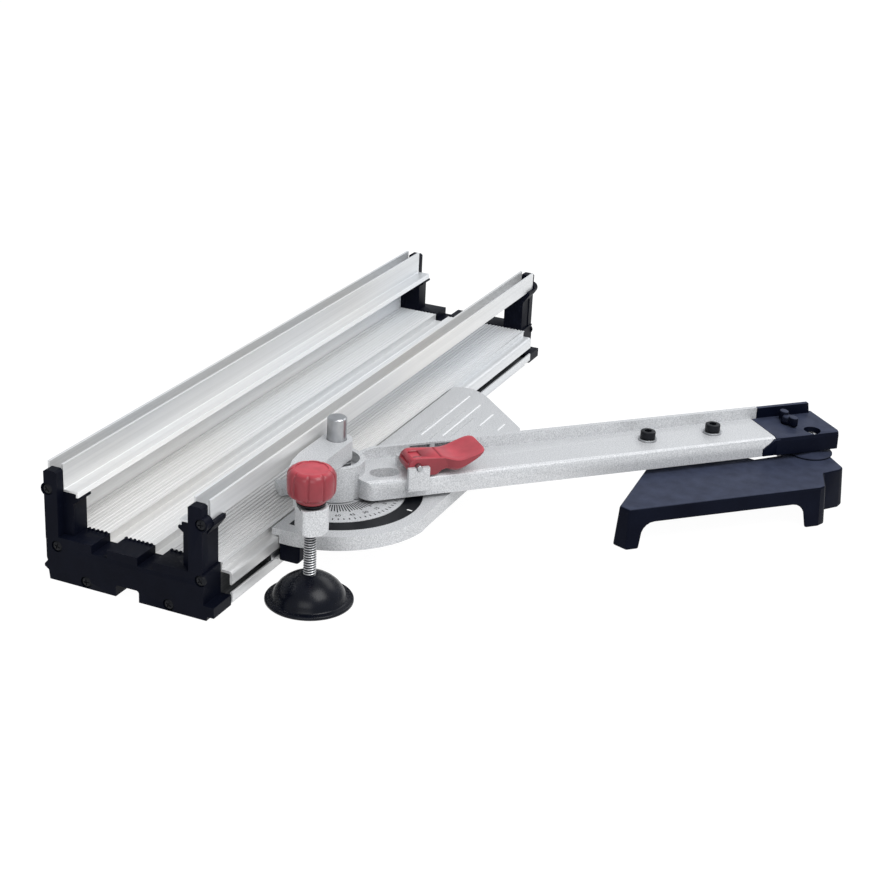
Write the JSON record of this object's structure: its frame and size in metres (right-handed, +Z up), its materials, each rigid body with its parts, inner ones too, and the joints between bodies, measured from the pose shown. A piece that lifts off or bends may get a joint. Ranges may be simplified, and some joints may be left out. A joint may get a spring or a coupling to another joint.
{
  "type": "rail tile cutter",
  "caption": "Rail tile cutter with a ribbed base, two grooved guide rails, a swinging mitre fence with cam lever, an outrigger foot and a screw clamp.",
  "frame": {"origin": "middle of the footprint, on the bench", "axes": "+Y along the rails from the near end to the far end, +X toward the mitre fence, +Z up"},
  "size_m": [0.5144, 0.649, 0.11],
  "materials": {
    "extruded_aluminium": "mill finish with fine lengthwise ribs",
    "die_cast_silver": "speckled silver powder coat",
    "black_plastic": "satin moulded",
    "red_plastic": "satin moulded",
    "bright_steel": "turned and zinc plated",
    "gloss_black": "glossy moulded",
    "blackened_steel": "blackened"
  },
  "bodies": {
    "base": {"base_extrusion": "extruded_aluminium", "near_end_cap": "black_plastic", "far_end_cap": "black_plastic", "left_guide_rail": "extruded_aluminium", "right_guide_rail": "extruded_aluminium", "near_cap_screw_1": "blackened_steel", "near_cap_screw_2": "blackened_steel", "near_cap_screw_3": "blackened_steel", "near_cap_screw_4": "blackened_steel", "near_cap_screw_5": "blackened_steel", "near_cap_screw_6": "blackened_steel", "far_cap_screw_1": "blackened_steel", "far_cap_screw_2": "blackened_steel", "far_cap_screw_3": "blackened_steel", "far_cap_screw_4": "blackened_steel", "far_cap_screw_5": "blackened_steel", "far_cap_screw_6": "blackened_steel"},
    "mitre_carriage": {"mitre_plate": "die_cast_silver", "protractor_ring": "black_plastic", "protractor_disc": "die_cast_silver", "near_slot_jaw": "black_plastic", "far_slot_jaw": "black_plastic", "near_slot_nut": "bright_steel", "far_slot_nut": "bright_steel"},
    "arm": {"fence_arm": "die_cast_silver", "lock_plunger": "bright_steel", "lever_pin": "bright_steel", "arm_screw_1": "bright_steel", "arm_screw_2": "bright_steel", "arm_washer_1": "bright_steel", "arm_washer_2": "bright_steel", "bar_nut_1": "bright_steel", "bar_nut_2": "bright_steel"},
    "lever": {"lock_lever": "red_plastic"},
    "extension": {"extension_bar": "extruded_aluminium", "arm_end_piece": "black_plastic", "end_piece_screw": "bright_steel", "foot_stem": "black_plastic", "foot_keeper": "bright_steel"},
    "wing": {"wing_knob": "black_plastic"},
    "foot": {"support_foot": "black_plastic"},
    "post": {"clamp_post": "bright_steel", "pivot_nut": "bright_steel"},
    "bracket": {"clamp_bracket": "die_cast_silver"},
    "pad": {"clamp_pad": "gloss_black"},
    "spindle": {"clamp_spindle": "bright_steel", "clamp_collar": "blackened_steel", "clamp_knob": "red_plastic"}
  },
  "joints": [
    {"name": "mitre_slide", "type": "slide", "parent": "base", "child": "mitre_carriage", "axis": [0, 1, 0], "range_m": [-0.055, 0.15]},
    {"name": "mitre_angle", "type": "hinge", "parent": "mitre_carriage", "child": "arm", "pos_m": [-0.09974, -0.146, 0.047], "axis": [0, 0, 1], "range_deg": [-45, 15]},
    {"name": "lever_lock", "type": "hinge", "parent": "arm", "child": "lever", "pos_m": [-0.04529, -0.11701, 0.066], "axis": [0.7071, -0.7071, 0], "range_deg": [0, 62]},
    {"name": "extension_slide", "type": "slide", "parent": "arm", "child": "extension", "axis": [0.7071, 0.7071, 0], "range_m": [0, 0.05]},
    {"name": "wing_turn", "type": "hinge", "parent": "extension", "child": "wing", "pos_m": [0.19725, 0.14674, 0.06], "axis": [0, 0, 1], "continuous": true},
    {"name": "foot_swivel", "type": "hinge", "parent": "extension", "child": "foot", "pos_m": [0.22023, 0.14215, 0.03], "axis": [0, 0, 1], "range_deg": [-10, 80]},
    {"name": "clamp_swing", "type": "hinge", "parent": "mitre_carriage", "child": "post", "pos_m": [-0.09974, -0.146, 0.09], "axis": [0, 0, 1], "range_deg": [-2, 20]},
    {"name": "clamp_height", "type": "slide", "parent": "post", "child": "bracket", "axis": [0, 0, 1], "range_m": [0, 0.015]},
    {"name": "clamp_screw", "type": "slide", "parent": "bracket", "child": "pad", "axis": [0, 0, 1], "range_m": [0, 0.024]},
    {"name": "spindle_turn", "type": "hinge", "parent": "pad", "child": "spindle", "pos_m": [-0.06274, -0.2585, 0.07], "axis": [0, 0, 1], "continuous": true}
  ],
  "couplings": [
    {"joint": "spindle_turn", "follows": "clamp_screw", "rad_per_m": 4188.8}
  ]
}
